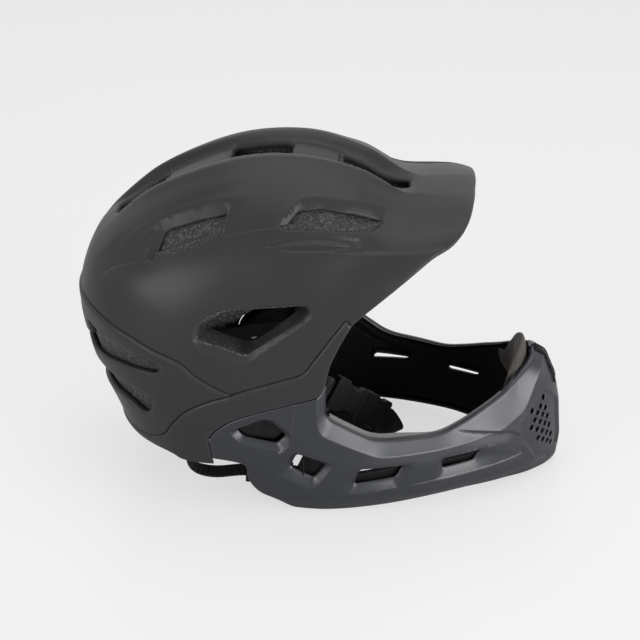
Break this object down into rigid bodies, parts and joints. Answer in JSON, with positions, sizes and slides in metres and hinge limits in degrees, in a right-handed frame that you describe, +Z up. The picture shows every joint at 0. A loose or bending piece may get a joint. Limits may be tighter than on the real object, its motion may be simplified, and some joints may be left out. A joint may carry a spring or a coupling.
{
  "type": "full face helmet",
  "caption": "Full face cycle helmet with a vented shell over a foam core, a visor, a removable vented chin guard, a nape fit dial and a buckled chin strap.",
  "frame": {"origin": "on the floor under the middle of the helmet, half way along its length", "axes": "+X to the wearer's front, +Y to the wearer's left, +Z up"},
  "size_m": [0.3275, 0.194, 0.2269],
  "materials": {
    "shell": "matte",
    "guard": "satin",
    "black_plastic": "satin",
    "foam": "beaded",
    "pad_black": "woven",
    "pad_brown": "smooth cloth",
    "webbing": "ribbed weave",
    "steel": "zinc plated"
  },
  "bodies": {
    "helmet": {"upper_shell": "shell", "rear_shell": "shell", "lower_shell_right": "shell", "lower_shell_left": "shell", "foam_core": "foam", "brow_pad": "pad_black", "crown_pad": "pad_black", "temple_pad_right": "pad_black", "temple_pad_left": "pad_black", "cheek_pad_right": "pad_black", "cheek_pad_left": "pad_black", "guard_receiver_right": "black_plastic", "guard_receiver_left": "black_plastic", "fit_cradle": "black_plastic", "cradle_pins": "black_plastic", "dial_housing": "black_plastic", "dial_cover": "black_plastic", "nape_pad": "pad_black", "front_strap_right": "webbing", "front_strap_left": "webbing", "rear_strap_right": "webbing", "rear_strap_left": "webbing", "strap_anchors": "black_plastic", "strap_divider_right": "black_plastic", "strap_divider_left": "black_plastic", "chin_strap_right": "webbing", "chin_strap_left": "webbing", "strap_keeper": "black_plastic", "buckle_socket": "black_plastic"},
    "guard_unit": {"chin_guard": "guard", "guard_lining": "black_plastic", "chin_pad": "pad_brown", "guard_plate_right": "black_plastic", "guard_plate_left": "black_plastic", "plate_screws": "steel", "button_spring_right": "steel", "button_spring_left": "steel"},
    "button_right": {"release_button_right": "black_plastic"},
    "button_left": {"release_button_left": "black_plastic"},
    "dial": {"dial_knob": "black_plastic", "dial_pinion": "steel"},
    "belt_right": {"fit_belt_right": "black_plastic"},
    "belt_left": {"fit_belt_left": "black_plastic"},
    "plug": {"buckle_plug": "black_plastic"}
  },
  "joints": [
    {"name": "guard_slide", "type": "slide", "parent": "helmet", "child": "guard_unit", "axis": [1, 0, 0], "range_m": [0, 0.06]},
    {"name": "button_right_press", "type": "slide", "parent": "guard_unit", "child": "button_right", "axis": [0, 1, 0], "range_m": [0, 0.003], "stiffness_N_per_m": 600, "springref_m": -0.002, "deforming": ["button_spring_right"]},
    {"name": "button_left_press", "type": "slide", "parent": "guard_unit", "child": "button_left", "axis": [0, -1, 0], "range_m": [0, 0.003], "stiffness_N_per_m": 600, "springref_m": -0.002, "deforming": ["button_spring_left"]},
    {"name": "dial_turn", "type": "hinge", "parent": "helmet", "child": "dial", "pos_m": [-0.117, 0, 0.038], "axis": [-1, 0, 0], "range_deg": [0, 130]},
    {"name": "belt_right_draw", "type": "slide", "parent": "helmet", "child": "belt_right", "axis": [0, 1, 0], "range_m": [0, 0.014]},
    {"name": "belt_left_draw", "type": "slide", "parent": "helmet", "child": "belt_left", "axis": [0, -1, 0], "range_m": [0, 0.014]},
    {"name": "plug_pull", "type": "slide", "parent": "helmet", "child": "plug", "axis": [0.7143, 0.3798, -0.5878], "range_m": [0, 0.02], "deforming": ["chin_strap_left"]}
  ],
  "couplings": [
    {"joint": "belt_right_draw", "follows": "dial_turn", "m_per_rad": 0.006},
    {"joint": "belt_left_draw", "follows": "dial_turn", "m_per_rad": 0.006}
  ]
}
